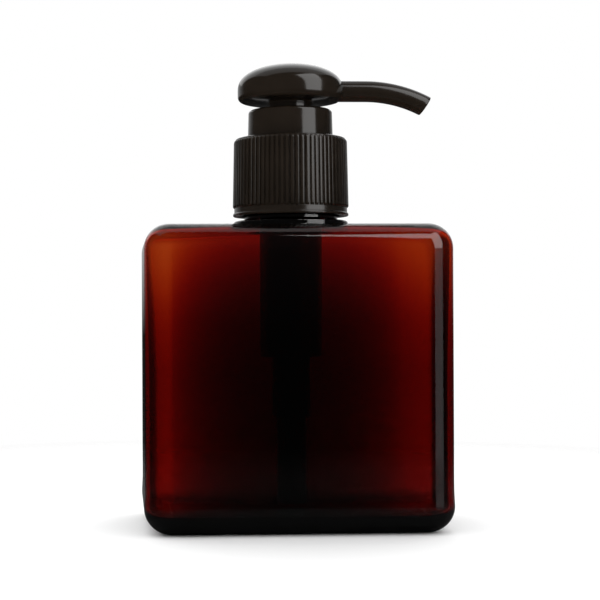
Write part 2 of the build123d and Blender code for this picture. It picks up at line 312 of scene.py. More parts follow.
# %% Inner materials
def waxy_plastic(name, colour, rough):
    finish = Finish(name, IOR=1.5, Subsurface_Weight=0.25, Subsurface_Scale=1.5 * MM)
    finish.shader.inputs["Subsurface Radius"].default_value = (1.0, 0.8, 0.6)
    clouds = finish.noise(250.0)
    shade = tuple(0.9 * c for c in colour)
    finish.feed("Base Color", finish.ramp(clouds, (0.3, (*shade, 1)), (0.7, (*colour, 1))))
    finish.feed("Roughness", clouds.fade(0.3, 0.7, rough, rough + 0.12))
    skin = finish.noise(1500.0, detail=2.0)
    finish.feed("Normal", finish.bump(skin, 0.01 * MM, strength=0.4))
    return finish.material


def drawn_steel():
    finish = Finish("drawn_steel", Metallic=1.0)
    grain = finish.noise(1800.0)
    finish.feed("Base Color", finish.ramp(
        grain, (0.3, (0.50, 0.49, 0.47, 1)), (0.7, (0.66, 0.65, 0.63, 1)),
    ))
    finish.feed("Roughness", grain.fade(0.3, 0.7, 0.16, 0.3))
    finish.feed("Normal", finish.bump(grain, 0.004 * MM, strength=0.5))
    return finish.material


NATURAL = waxy_plastic("natural_pp", (0.74, 0.73, 0.69), 0.32)
SOFT = waxy_plastic("soft_pe", (0.82, 0.81, 0.77), 0.45)
STEEL = drawn_steel()
print("inner materials are ready")

# %% [markdown]
# ## Turned shapes
# Nearly every pump part is round, so its shape is a grid: rings going round the axis,
# one ring for each point of the outline. A rule may move a ring's points, which is how a
# thread grows out of a plain neck. The outline of a ring-shaped piece closes on itself, and
# the outline of a piece with a solid middle starts and ends on the axis.

# %% Grid helpers
DOUBLED = 0.2e-6


def arc(centre, radius, start, end, count):
    """Points (radius, height) on an arc; angles in degrees from the outward direction."""
    steps = [radians(start + (end - start) * i / count) for i in range(count + 1)]
    return [(centre[0] + radius * cos(a), centre[1] + radius * sin(a)) for a in steps]


def straight(start, end, count):
    """Points on a straight stretch, without its first point."""
    return [
        (start[0] + (end[0] - start[0]) * i / count, start[1] + (end[1] - start[1]) * i / count)
        for i in range(1, count + 1)
    ]


def clean(mesh, sharp=40):
    """Merges doubled points, turns the faces outwards and creases the steep edges."""
    bm = bmesh.new()
    bm.from_mesh(mesh)
    bmesh.ops.remove_doubles(bm, verts=bm.verts, dist=DOUBLED)
    bmesh.ops.recalc_face_normals(bm, faces=bm.faces)
    bm.to_mesh(mesh)
    bm.free()
    mesh.shade_smooth()
    mesh.set_sharp_from_angle(angle=radians(sharp))


def new_piece(name, points, faces, material, sharp=40):
    mesh = bpy.data.meshes.new(name)
    mesh.from_pydata(points, [], faces)
    clean(mesh, sharp)
    mesh.materials.append(material)
    piece = bpy.data.objects.new(name, mesh)
    bpy.context.scene.collection.objects.link(piece)
    return piece


def settle(piece):
    """Gives a piece the plain mesh that its modifiers make, and takes them off."""
    bpy.context.view_layer.update()
    graph = bpy.context.evaluated_depsgraph_get()
    mesh = bpy.data.meshes.new_from_object(piece.evaluated_get(graph))
    piece.modifiers.clear()
    piece.data = mesh
    clean(mesh)


def carve(piece, other, operation):
    """Adds another closed solid to a piece (UNION) or cuts it out (DIFFERENCE)."""
    step = piece.modifiers.new("carve", "BOOLEAN")
    step.operation = operation
    step.solver = "MANIFOLD"
    step.object = other
    settle(piece)
    bpy.data.objects.remove(other)


def grid_faces(rings, count, closed=False):
    """Quads between neighbouring rings; closed joins the last ring to the first."""
    faces = []
    last = rings if closed else rings - 1
    for i in range(last):
        low, high = i * count, (i + 1) % rings * count
        for k in range(count):
            nxt = (k + 1) % count
            faces.append((low + k, low + nxt, high + nxt, high + k))
    return faces


def turned(name, outline, material, count=128, rule=None, closed=True):
    """Turns an outline of (radius, height) about the axis; a rule may change a radius.
    An outline that starts and ends on the axis isn't closed by a last row of faces."""
    points = []
    for radius, height in outline:
        for k in range(count):
            turn = 2 * pi * k / count
            r = rule(turn, radius, height) if rule else radius
            points.append((r * cos(turn), r * sin(turn), height))
    return new_piece(name, points, grid_faces(len(outline), count, closed), material)


def eased(t):
    """Runs smoothly from 0 to 1 as t does, and stays there beyond."""
    t = max(0.0, min(1.0, t))
    return t * t * (3 - 2 * t)


def thread_height(turn, height, base_z, pitch, turns, root_width, crest_width, fade=0.12):
    """How far a thread ridge stands at a place, from 0 to 1, with ends that fade away."""
    best = 0.0
    for lap in range(int(turns) + 1):
        along = turn / (2 * pi) + lap
        if along > turns:
            continue
        off = abs(height - base_z - pitch * along)
        flank = (root_width / 2 - off) / ((root_width - crest_width) / 2)
        ends = min(1.0, along / fade, (turns - along) / fade)
        rise = max(0.0, min(1.0, flank)) * max(0.0, ends)
        best = max(best, eased(rise))
    return best


print("grid helpers are ready")

# %% [markdown]
# ## The bottle
# The body is a rounded block blown into a mould, so its wall is thin at the corners and the
# top, where the plastic was stretched most, and thick in the middle of each face. The base is
# heavier and pushed up in the middle, and the moulded neck has one and a half turns of
# thread. Rings that change from a rounded rectangle to a circle make the whole bottle,
# outside and inside, as one closed skin, which clear plastic needs: light has to enter and
# leave the wall to be bent and dyed by it.

# %% Bottle sizes
CORNER = 7.5 * MM
SHOULDER_ROUND = 6.5 * MM
BASE_ROUND = 7.4 * MM
SHARPEST_CORNER = 0.15 * MM
THIN_WALL = 0.55 * MM
THICK_WALL = 2.3 * MM
THINNING_FROM_Z, THINNING_OVER = 45 * MM, 33 * MM
THINNING_SHARE, LEAST_SHARE = 0.7, 0.2
LOW_EXTRA = 0.6 * MM
LOW_EXTRA_FROM_Z, LOW_EXTRA_OVER = 75 * MM, 35 * MM
INNER_SHOULDER = 5.2 * MM
INNER_HEEL = 3.2 * MM
INNER_NECK_BEND = 3.0 * MM
CEILING_WALL = 1.1 * MM
BASE_FLARE = 0.35 * MM
FLARE_FOOT, FLARE_TOP = BASE_ROUND * 0.4, 13 * MM
NECK_HEIGHT = 19.1 * MM
BODY_TOP_Z = RIM_Z - NECK_HEIGHT
BASE_FLOOR_Z = 4.2 * MM
BASE_CROWN = 0.5 * MM
PUSH_UP = 1.0 * MM
PUSH_UP_INSET = HALF_DEPTH - 14 * MM
NECK_RADIUS = 12.65 * MM
NECK_BORE = 10.0 * MM
RING_RADIUS = 15.5 * MM
RING_HEIGHT = 1.6 * MM
RING_EDGE = 0.55 * MM
RING_FOOT = 0.5 * MM
NECK_FOOT = 0.6 * MM
RIM_EDGE = 0.45 * MM
THREAD_PITCH = 25.4 * MM / 6
THREAD_TURNS = 1.5
THREAD_DEPTH = 1.15 * MM
THREAD_ROOT, THREAD_CREST = 2.3 * MM, 1.1 * MM
THREAD_BELOW_RIM = 2.6 * MM
THREAD_BASE_Z = RIM_Z - THREAD_BELOW_RIM - THREAD_PITCH * THREAD_TURNS
THREAD_ROWS = 62
RING_POINTS = 256

# how far up a straight side its rings lie, crowded towards both ends
OUTER_SHARES = (0.004, 0.02, 0.05, 0.09, 0.15, 0.3, 0.5, 0.7, 0.85, 0.95, 0.98, 0.996)
INNER_SHARES = (0.004, 0.02, 0.05, 0.15, 0.3, 0.5, 0.7, 0.85, 0.95, 0.98, 0.996)
# inset, height and corner, in millimetres, of the rings from the push-up down to the foot
PUSH_UP_SLOPE = ((10.4, 0.97, 3.6), (9.6, 0.7, 3.2), (9.0, 0.3, 2.6), (8.5, 0.06, 1.9))
# heights, in millimetres, of the rings down the neck's bore
BORE_HEIGHTS = (96, 91, 86, 83)
print("body top at", round(BODY_TOP_Z / MM, 1), "mm")


# %% Rings of the bottle
def block_ring(half_x, half_y, corner, z):
    """A rounded rectangle with as many points in each quarter, crowded towards its corners."""
    quarter = RING_POINTS // 4
    side, bend = quarter * 5 // 16, quarter * 6 // 16
    run_y, run_x = half_y - corner, half_x - corner
    first = [(half_x, run_y * sin(pi / 2 * i / side)) for i in range(side)]
    middle = [
        (run_x + corner * cos(pi / 2 * i / bend), run_y + corner * sin(pi / 2 * i / bend))
        for i in range(bend)
    ]
    rest = quarter - side - bend
    last = [(run_x * cos(pi / 2 * i / rest), half_y) for i in range(rest)]
    one = first + middle + last
    two = [(-x, y) for x, y in [(0, half_y)] + one[:0:-1]]
    half = one + two
    return [(x, y, z) for x, y in half] + [(-x, -y, z) for x, y in half]


def round_ring(radius, z, rule=None):
    """A circle, or what a rule makes of it from each point's turn and height."""
    ring = []
    for k in range(RING_POINTS):
        a = 2 * pi * k / RING_POINTS
        r = rule(a, z) if rule else radius
        ring.append((r * cos(a), r * sin(a), z))
    return ring


def flare(z):
    """How much the wall stands in from the base's width at a height."""
    return BASE_FLARE * eased((z - FLARE_FOOT) / (FLARE_TOP - FLARE_FOOT))


def body_ring(inset, z):
    """A ring of the body's outside, drawn in by inset."""
    off = inset + flare(z)
    corner = max(CORNER - off, SHARPEST_CORNER)
    return block_ring(HALF_WIDTH - off, HALF_DEPTH - off, corner, z)


def wall_at(share, z):
    """What a face's wall has beyond the thin one, at a share of the way to its corner."""
    rise = max(0.0, (z - THINNING_FROM_Z) / THINNING_OVER)
    swell = (THICK_WALL - THIN_WALL) * max(LEAST_SHARE, 1 - THINNING_SHARE * rise * rise)
    return swell * (1 - min(1.0, share) ** 2)


def hollow_ring(inset, z):
    """A ring of the body's inside: a thin even wall, swollen inwards where the face is thick."""
    ring = []
    lower = eased((LOW_EXTRA_FROM_Z - z) / LOW_EXTRA_OVER)
    off = inset + THIN_WALL + LOW_EXTRA * lower + flare(z)
    half_x, half_y = HALF_WIDTH - off, HALF_DEPTH - off
    corner = max(CORNER - off, SHARPEST_CORNER)
    for x, y, z in block_ring(half_x, half_y, corner, z):
        on_x = wall_at(abs(y) / (half_y - corner), z) * (abs(x) >= half_x - corner)
        on_y = wall_at(abs(x) / (half_x - corner), z) * (abs(y) >= half_y - corner)
        ring.append((x - on_x * (1 if x > 0 else -1), y - on_y * (1 if y > 0 else -1), z))
    return ring


print("thickest wall", round((THICK_WALL + LOW_EXTRA) / MM, 2), "mm")

# %% Bottle outline, outside then inside
def neck_rule(turn, z):
    rise = thread_height(
        turn, z, THREAD_BASE_Z, THREAD_PITCH, THREAD_TURNS, THREAD_ROOT, THREAD_CREST,
    )
    return NECK_RADIUS + THREAD_DEPTH * rise


def bottle_outside():
    rings = []
    for share in (0.02, 0.2, 0.4, 0.6, 0.8, 0.95):
        half_x = (HALF_WIDTH - PUSH_UP_INSET) * share
        half_y = (HALF_DEPTH - PUSH_UP_INSET) * share
        rings.append(block_ring(half_x, half_y, 0.3 * half_x * share, PUSH_UP))
    for inset, z, corner in PUSH_UP_SLOPE:
        half_x, half_y = HALF_WIDTH - inset * MM, HALF_DEPTH - inset * MM
        rings.append(block_ring(half_x, half_y, corner * MM, z * MM))
    rings.append(body_ring(BASE_ROUND + 0.2 * MM, 0.0))
    for r, z in arc((0, BASE_ROUND), BASE_ROUND, -90, 0, 20):
        rings.append(body_ring(BASE_ROUND - r, z))
    straight_top = BODY_TOP_Z - SHOULDER_ROUND
    for share in OUTER_SHARES:
        rings.append(body_ring(0.0, BASE_ROUND + (straight_top - BASE_ROUND) * share))
    for r, z in arc((0, straight_top), SHOULDER_ROUND, 0, 90, 20):
        rings.append(body_ring(SHOULDER_ROUND - r, z))
    rings.append(body_ring(SHOULDER_ROUND + 0.25 * MM, BODY_TOP_Z))
    return rings


def neck_outside():
    ring_top, ring_edge = BODY_TOP_Z + RING_HEIGHT, RING_RADIUS - RING_EDGE
    foot, foot_top = NECK_RADIUS + NECK_FOOT, ring_top + NECK_FOOT
    outline = [(RING_RADIUS + RING_FOOT + 0.3 * MM, BODY_TOP_Z)]
    outline += arc((RING_RADIUS + RING_FOOT, BODY_TOP_Z + RING_FOOT), RING_FOOT, -90, -180, 5)
    outline += arc((ring_edge, ring_top - RING_EDGE), RING_EDGE, 0, 90, 7)
    outline += straight((ring_edge, ring_top), (foot, ring_top), 3)
    outline += arc((foot, foot_top), NECK_FOOT, -90, -180, 5)
    lip = RIM_Z - RIM_EDGE
    outline += straight((NECK_RADIUS, foot_top), (NECK_RADIUS, lip), THREAD_ROWS)
    rings = []
    for radius, z in outline:
        threaded = radius == NECK_RADIUS
        rings.append(round_ring(radius, z, neck_rule if threaded else None))
    for radius, z in arc((NECK_RADIUS - RIM_EDGE, lip), RIM_EDGE, 15, 90, 5):
        rings.append(round_ring(radius, z))
    for radius, z in arc((NECK_BORE + RIM_EDGE, lip), RIM_EDGE, 90, 180, 5):
        rings.append(round_ring(radius, z))
    return rings


def bottle_inside():
    ceiling = BODY_TOP_Z - CEILING_WALL
    bend = INNER_NECK_BEND
    rings = [round_ring(NECK_BORE, z * MM) for z in BORE_HEIGHTS]
    for radius, z in arc((NECK_BORE + bend, ceiling + bend), bend, 180, 270, 10):
        rings.append(round_ring(radius, z))
    rings.append(round_ring(NECK_BORE + bend + 1.5 * MM, ceiling))
    low, top = BASE_FLOOR_Z + INNER_HEEL, ceiling - INNER_SHOULDER
    for r, z in arc((0, top), INNER_SHOULDER, 90, 0, 16):
        rings.append(hollow_ring(INNER_SHOULDER - r, z))
    for share in reversed(INNER_SHARES):
        rings.append(hollow_ring(0.0, low + (top - low) * share))
    for r, z in arc((0, low), INNER_HEEL, 0, -90, 16):
        rings.append(hollow_ring(INNER_HEEL - r, z))
    off = BASE_ROUND + THICK_WALL
    for share in (0.93, 0.6, 0.3, 0.02):
        half_x, half_y = (HALF_WIDTH - off) * share, (HALF_DEPTH - off) * share
        z = BASE_FLOOR_Z + BASE_CROWN * (1 - share)
        rings.append(block_ring(half_x, half_y, 0.3 * half_y, z))
    return rings


def make_bottle():
    rings = bottle_outside() + neck_outside() + bottle_inside()
    points = [p for ring in rings for p in ring]
    faces = grid_faces(len(rings), RING_POINTS)
    faces.append(tuple(range(RING_POINTS)))
    faces.append(tuple(range(len(points) - RING_POINTS, len(points))))
    return new_piece("bottle_shell", points, faces, AMBER, 50)


bottle = make_bottle()
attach(bottle, "bottle")
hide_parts("bottle")
print("bottle has", len(bottle.data.polygons), "faces")

# %% [markdown]
# ## The closure and its grip ribs
# A turned core carries the thread inside and a smooth band with a lip at the foot. The 72
# ribs are one small bar, copied round the core by Geometry Nodes: the tree makes as many
# points as there are ribs and turns one copy to each. Modelling a single rib and letting
# the tree repeat it means that a change of count or shape is made in one place.

# %% Closure sizes
CLOSURE_RADIUS = 15.75 * MM
CLOSURE_DRAFT = 0.35 * MM
CLOSURE_BORE = 14.1 * MM
CLOSURE_HOLE = 11.8 * MM
CLOSURE_CEILING = 1.5 * MM
HOLE_EDGE = 0.3 * MM
MOUTH_EDGE = 0.4 * MM
BAND_RADIUS = 15.38 * MM
BAND_HEIGHT = 2.3 * MM
BAND_EDGE = 0.15 * MM
LIP_RADIUS = 15.7 * MM
LIP_HEIGHT = 0.8 * MM
LIP_EDGE = 0.25 * MM
RIB_COUNT = 72
RIB_DEPTH = 0.5 * MM
EDGE_ROUND = 1.3 * MM
EDGE_CENTRE = CLOSURE_RADIUS - CLOSURE_DRAFT - EDGE_ROUND
CAP_THREAD_DEPTH = 1.15 * MM
CAP_THREAD_ROOT, CAP_THREAD_CREST = 1.9 * MM, 0.8 * MM
print("rib pitch", round(2 * pi * CLOSURE_RADIUS / RIB_COUNT / MM, 2), "mm")


# %% Closure core
def cap_thread(turn, radius, z):
    if radius != CLOSURE_BORE:
        return radius
    rise = thread_height(
        turn, z, THREAD_BASE_Z - THREAD_PITCH / 2, THREAD_PITCH, THREAD_TURNS,
        CAP_THREAD_ROOT, CAP_THREAD_CREST,
    )
    return radius - CAP_THREAD_DEPTH * rise


def closure_core():
    low, top = CLOSURE_BASE_Z, CLOSURE_TOP_Z
    ceiling = top - CLOSURE_CEILING
    lip, lip_top, band_top = LIP_RADIUS - LIP_EDGE, low + LIP_HEIGHT, low + BAND_HEIGHT
    start = degrees(acos((EDGE_ROUND - RIB_DEPTH) / EDGE_ROUND))
    outline = arc((lip, low + LIP_EDGE), LIP_EDGE, -90, 0, 4)
    outline += arc((lip, lip_top - LIP_EDGE), LIP_EDGE, 0, 75, 4)
    outline += arc((BAND_RADIUS + 0.1 * MM, lip_top + 0.12 * MM), 0.1 * MM, -90, -180, 3)
    outline += arc((BAND_RADIUS - BAND_EDGE, band_top - BAND_EDGE), BAND_EDGE, 0, 90, 4)
    outline.append((CLOSURE_RADIUS - RIB_DEPTH, band_top))
    outline += arc((EDGE_CENTRE, top - EDGE_ROUND), EDGE_ROUND, start, 90, 5)
    outline += arc((CLOSURE_HOLE + HOLE_EDGE, top - HOLE_EDGE), HOLE_EDGE, 90, 180, 4)
    outline.append((CLOSURE_HOLE, ceiling))
    outline.append((CLOSURE_BORE - HOLE_EDGE, ceiling))
    bore_top, bore_foot = (CLOSURE_BORE, ceiling - HOLE_EDGE), (CLOSURE_BORE, low + MOUTH_EDGE)
    outline += straight(bore_top, bore_foot, 56)
    outline.append((CLOSURE_BORE + MOUTH_EDGE, low))
    return turned("closure_cap", outline, BLACK_RIBBED, 240, cap_thread)


closure_cap = closure_core()
print("core has", len(closure_cap.data.polygons), "faces")


# %% One rib
# height over the band and depth below the rib's crest, in millimetres, of its rounded foot
RIB_FOOT = ((-0.1, 0.42), (0.08, 0.14), (0.3, 0.02), (0.6, 0.0))
# depth below the crest and half width, in millimetres, from its root to its crest
RIB_HALF = ((0.8, 0.53), (0.24, 0.47), (0.05, 0.36), (0.0, 0.17))
# degrees round the closure's top edge at which the rib has a row of points
RIB_TURNS = (0, 12, 24, 36, 48, 60, 70)
RIB_SINKS_FROM, RIB_SINK = 24, 0.18


def single_rib():
    """A bar along the core's side that bends over its top edge and sinks into it."""
    low, bend_z = CLOSURE_BASE_Z + BAND_HEIGHT, CLOSURE_TOP_Z - EDGE_ROUND
    rows = [(CLOSURE_RADIUS, low + up * MM, 0.0, sink) for up, sink in RIB_FOOT]
    for turn in RIB_TURNS:
        a = radians(turn)
        sink = RIB_SINK * max(0, turn - RIB_SINKS_FROM) / (RIB_TURNS[-1] - RIB_SINKS_FROM)
        rows.append((EDGE_CENTRE + EDGE_ROUND * cos(a), bend_z + EDGE_ROUND * sin(a), a, sink))
    section = RIB_HALF + tuple((depth, -half) for depth, half in RIB_HALF[::-1])
    points = []
    for r, z, a, sink in rows:
        for depth, half in section:
            inward = (depth + sink) * MM
            points.append((r - inward * cos(a), half * MM, z - inward * sin(a)))
    wide = len(section)
    faces = grid_faces(len(rows), wide)
    faces.append(tuple(range(wide)))
    faces.append(tuple(range(len(points) - wide, len(points))))
    return new_piece("grip_ribs", points, faces, BLACK_RIBBED)


rib = single_rib()
print("one rib has", len(rib.data.polygons), "faces")


# %% Ribs by Geometry Nodes
def rib_tree():
    """A tree that turns copies of the piece it is given about the upright axis."""
    tree = bpy.data.node_groups.new("ribs_round_the_closure", "GeometryNodeTree")
    tree.interface.new_socket("Rib", in_out="INPUT", socket_type="NodeSocketGeometry")
    count = tree.interface.new_socket("Count", in_out="INPUT", socket_type="NodeSocketInt")
    colour = tree.interface.new_socket("Finish", in_out="INPUT", socket_type="NodeSocketMaterial")
    tree.interface.new_socket("Ribs", in_out="OUTPUT", socket_type="NodeSocketGeometry")
    graph = Graph(tree)
    given = tree.nodes.new("NodeGroupInput")
    one_rib, how_many, material = (Value(tree, given.outputs[i]) for i in range(3))
    places = graph.node("GeometryNodePoints", None, {"Count": how_many})
    turn = graph.node("GeometryNodeInputIndex") * (2 * pi) / how_many
    spin = graph.node("ShaderNodeCombineXYZ", None, {"Z": turn})
    spin = graph.node("FunctionNodeEulerToRotation", None, {0: spin})
    sockets = {"Points": places, "Instance": one_rib, "Rotation": spin}
    copies = graph.node("GeometryNodeInstanceOnPoints", None, sockets)
    solid = graph.node("GeometryNodeRealizeInstances", None, {"Geometry": copies})
    sockets = {"Geometry": solid, "Material": material}
    dressed = graph.node("GeometryNodeSetMaterial", None, sockets)
    tree.links.new(dressed.socket, tree.nodes.new("NodeGroupOutput").inputs[0])
    return tree, {"count": count.identifier, "finish": colour.identifier}


def repeat_rib(piece):
    tree, inputs = rib_tree()
    step = piece.modifiers.new("ribs", "NODES")
    step.node_group = tree
    step[inputs["count"]] = RIB_COUNT
    step[inputs["finish"]] = BLACK_RIBBED
    settle(piece)
    return piece


carve(closure_cap, repeat_rib(rib), "UNION")
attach(closure_cap, "closure")
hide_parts("closure")
print("closure has", len(closure_cap.data.polygons), "faces")

# %% [markdown]
# ## The dome
# The cover over the head is a flattened dome with an upright side and a rounded lower
# edge. Its profile is a superellipse: one formula gives the full shoulders and the gentle
# crown that two plain arcs can't. The same profile, drawn smaller, is its inside.

# %% Dome
DOME_RADIUS = dome_high.y
DOME_WALL = 1.5 * MM
DOME_DROP = 7.1 * MM
DOME_EDGE = 1.4 * MM
DOME_ACROSS_POWER, DOME_UP_POWER = 2 / 2.03, 2 / 2.44
NOTCH_GAP = 0.1 * MM
NOTCH_START, NOTCH_END = 6 * MM, 16 * MM
NOZZLE_RADIUS = 2.85 * MM
NOZZLE_Z = HEAD_Z + 2.9 * MM


def dome_side(inset, count=28):
    """Points from the top down to the upright side, drawn inwards by inset."""
    points = []
    for i in range(count + 1):
        t = pi / 2 * i / count
        across = (DOME_RADIUS - inset) * sin(t) ** DOME_ACROSS_POWER
        up = (DOME_DROP - inset) * max(0.0, cos(t)) ** DOME_UP_POWER
        points.append((across, DOME_TOP_Z - DOME_DROP + up))
    return points


def arch_block():
    """A long block with a round top, lying along the nozzle, which the notch is cut with."""
    half, low_z = NOZZLE_RADIUS + NOTCH_GAP, HEAD_Z - MM
    bow = [radians(a) for a in range(0, 181, 10)]
    section = [(-half, low_z)] + [(-half * cos(a), NOZZLE_Z + half * sin(a)) for a in bow]
    section.append((half, low_z))
    points = [(x, y, z) for x in (NOTCH_START, NOTCH_END) for y, z in section]
    wide = len(section)
    faces = grid_faces(2, wide) + [tuple(range(wide)), tuple(range(wide, 2 * wide))]
    return new_piece("arch_block", points, faces, BLACK_POLISHED)


def make_dome():
    outline = dome_side(0.0)
    outline += arc((DOME_RADIUS - DOME_EDGE, HEAD_Z + DOME_EDGE), DOME_EDGE, 0, -90, 8)
    outline.append((DOME_RADIUS - DOME_WALL, HEAD_Z))
    outline += dome_side(DOME_WALL)[::-1]
    dome = turned("dome_cover", outline, BLACK_POLISHED, 192, closed=False)
    carve(dome, arch_block(), "DIFFERENCE")
    return dome


dome = make_dome()
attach(dome, "head")
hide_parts("dome_cap")
print("dome has", len(dome.data.polygons), "faces")

# %% [markdown]
# ## The head with its nozzle
# One moulding: a flat disc that closes the dome from below, a boss that takes the stem and
# carries the lock thread, and the nozzle, a plain tube that runs out level and then bends
# down. The tube follows a path, and the last ring is slid onto the slanted cut.

# %% Head sizes
DISC_RADIUS = DOME_RADIUS - DOME_WALL - 0.05 * MM
DISC_THICKNESS = 1.3 * MM
DISC_EDGE = 0.2 * MM
BOSS_RADIUS = 6.2 * MM
BOSS_ROUND = 0.5 * MM
BOSS_BEVEL = 0.3 * MM
HUB_TOP_Z = HEAD_Z + 5.9 * MM
SOCKET_RADIUS, SOCKET_DEPTH = 4.05 * MM, 4.02 * MM
CHANNEL_RADIUS, CHANNEL_ROOM = 2.6 * MM, 0.4 * MM
LOCK_PITCH, LOCK_TURNS, LOCK_DEPTH = 3.0 * MM, 0.72, 0.85 * MM
LOCK_ROOT, LOCK_CREST = 1.3 * MM, 0.7 * MM
NOZZLE_BORE = 1.7 * MM
NOZZLE_STRAIGHT = 20.6 * MM
NOZZLE_BEND = 36 * MM
NOZZLE_TIP_EDGE = 0.3 * MM
BORE_OVERRUN = 2 * MM
BEND_ANGLE = 27.5
BEND_STEPS = 18
CUT_ANGLE = 33
print("nozzle axis at", round(NOZZLE_Z / MM, 1), "mm")


# %% Head moulding
def lock_thread(turn, radius, z):
    if radius != BOSS_RADIUS:
        return radius
    rise = thread_height(
        turn, z, BOSS_BASE_Z + LOCK_ROOT, LOCK_PITCH, LOCK_TURNS, LOCK_ROOT, LOCK_CREST,
    )
    return radius + LOCK_DEPTH * rise


def head_body():
    soft, edge = BOSS_ROUND, DISC_EDGE
    disc_top, disc_rim = HEAD_Z + DISC_THICKNESS, DISC_RADIUS - DISC_EDGE
    outline = [(0.0, HUB_TOP_Z)]
    outline += arc((BOSS_RADIUS - soft, HUB_TOP_Z - soft), soft, 90, 0, 5)
    outline += arc((BOSS_RADIUS + soft, disc_top + soft), soft, 180, 270, 5)
    outline += arc((disc_rim, disc_top - edge), edge, 90, 0, 3)
    outline += arc((disc_rim, HEAD_Z + edge), edge, 0, -90, 3)
    outline += arc((BOSS_RADIUS + soft, HEAD_Z - soft), soft, 90, 180, 5)
    outline += straight((BOSS_RADIUS, HEAD_Z - soft), (BOSS_RADIUS, BOSS_BASE_Z + BOSS_BEVEL), 36)
    outline.append((BOSS_RADIUS - BOSS_BEVEL, BOSS_BASE_Z))
    outline.append((SOCKET_RADIUS, BOSS_BASE_Z))
    outline.append((SOCKET_RADIUS, BOSS_BASE_Z + SOCKET_DEPTH))
    outline.append((CHANNEL_RADIUS, BOSS_BASE_Z + SOCKET_DEPTH))
    channel_top = NOZZLE_Z + NOZZLE_BORE + CHANNEL_ROOM
    outline += [(CHANNEL_RADIUS, channel_top), (0.0, channel_top)]
    return turned("pump_head", outline, BLACK_POLISHED, 144, lock_thread, closed=False)


def nozzle_line(angle):
    """The middle of the nozzle's bend after turning down by an angle, and its direction."""
    a = radians(angle)
    x = NOZZLE_STRAIGHT + NOZZLE_BEND * sin(a)
    return Vector((x, 0, NOZZLE_Z - NOZZLE_BEND * (1 - cos(a)))), Vector((cos(a), 0, -sin(a)))


def tube_ring(middle, ahead, radius, count=48):
    side, up = Vector((0, 1, 0)), Vector((-ahead.z, 0, ahead.x))
    return [
        middle + radius * (side * cos(2 * pi * k / count) + up * sin(2 * pi * k / count))
        for k in range(count)
    ]


def onto_cut(ring, ahead, back):
    """Slides a ring's points along the nozzle onto the slanted cut, or short of it by back."""
    tip = nozzle_line(BEND_ANGLE)[0]
    cut = Vector((cos(radians(CUT_ANGLE)), 0, -sin(radians(CUT_ANGLE))))
    return [p + ahead * (((tip - p).dot(cut) - back) / ahead.dot(cut)) for p in ring]


def nozzle_solid(radius, start_x, rounding, overrun):
    """A closed tube along the nozzle: cut and rounded at its tip, or run on past it."""
    level = Vector((1, 0, 0))
    rings = [tube_ring(Vector((x * MM, 0, NOZZLE_Z)), level, radius)
             for x in range(start_x, int(NOZZLE_STRAIGHT / MM), 4)]
    for i in range(BEND_STEPS):
        rings.append(tube_ring(*nozzle_line(BEND_ANGLE * i / BEND_STEPS), radius))
    tip, ahead = nozzle_line(BEND_ANGLE)
    for turn in range(0, 91, 30):
        a = radians(turn)
        ring = tube_ring(tip, ahead, radius - rounding * (1 - cos(a)))
        rings.append(onto_cut(ring, ahead, rounding * (1 - sin(a)) - overrun))
        if not rounding:
            break
    points = [p for ring in rings for p in ring]
    wide = len(rings[0])
    faces = grid_faces(len(rings), wide)
    faces.append(tuple(range(wide)))
    faces.append(tuple(range(len(points) - wide, len(points))))
    return new_piece("nozzle_solid", points, faces, BLACK_POLISHED)


print("nozzle tip at x", round(nozzle_line(BEND_ANGLE)[0].x / MM, 1), "mm")

# %% Head assembled
pump_head = head_body()
carve(pump_head, nozzle_solid(NOZZLE_RADIUS, 3, NOZZLE_TIP_EDGE, 0.0), "UNION")
carve(pump_head, nozzle_solid(NOZZLE_BORE, 0, 0.0, BORE_OVERRUN), "DIFFERENCE")
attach(pump_head, "head")
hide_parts("actuator")
print("head has", len(pump_head.data.polygons), "faces")

# %% [markdown]
# ## The return spring
# A compression spring has a closed coil at each end, which lies flat on its seat, and an
# even pitch between. A short tree bends a straight line of points into that helix: the
# height rises by one wire's thickness a turn everywhere, and the rest of the length is
# added only between the end coils.

# %% Spring by Geometry Nodes
SPRING_TURNS = 8.0
WIRE_RADIUS = 0.5 * MM
WIRE_POINTS, WIRE_SIDES = 640, 14
SPRING_RADIUS = spring_high.y - WIRE_RADIUS


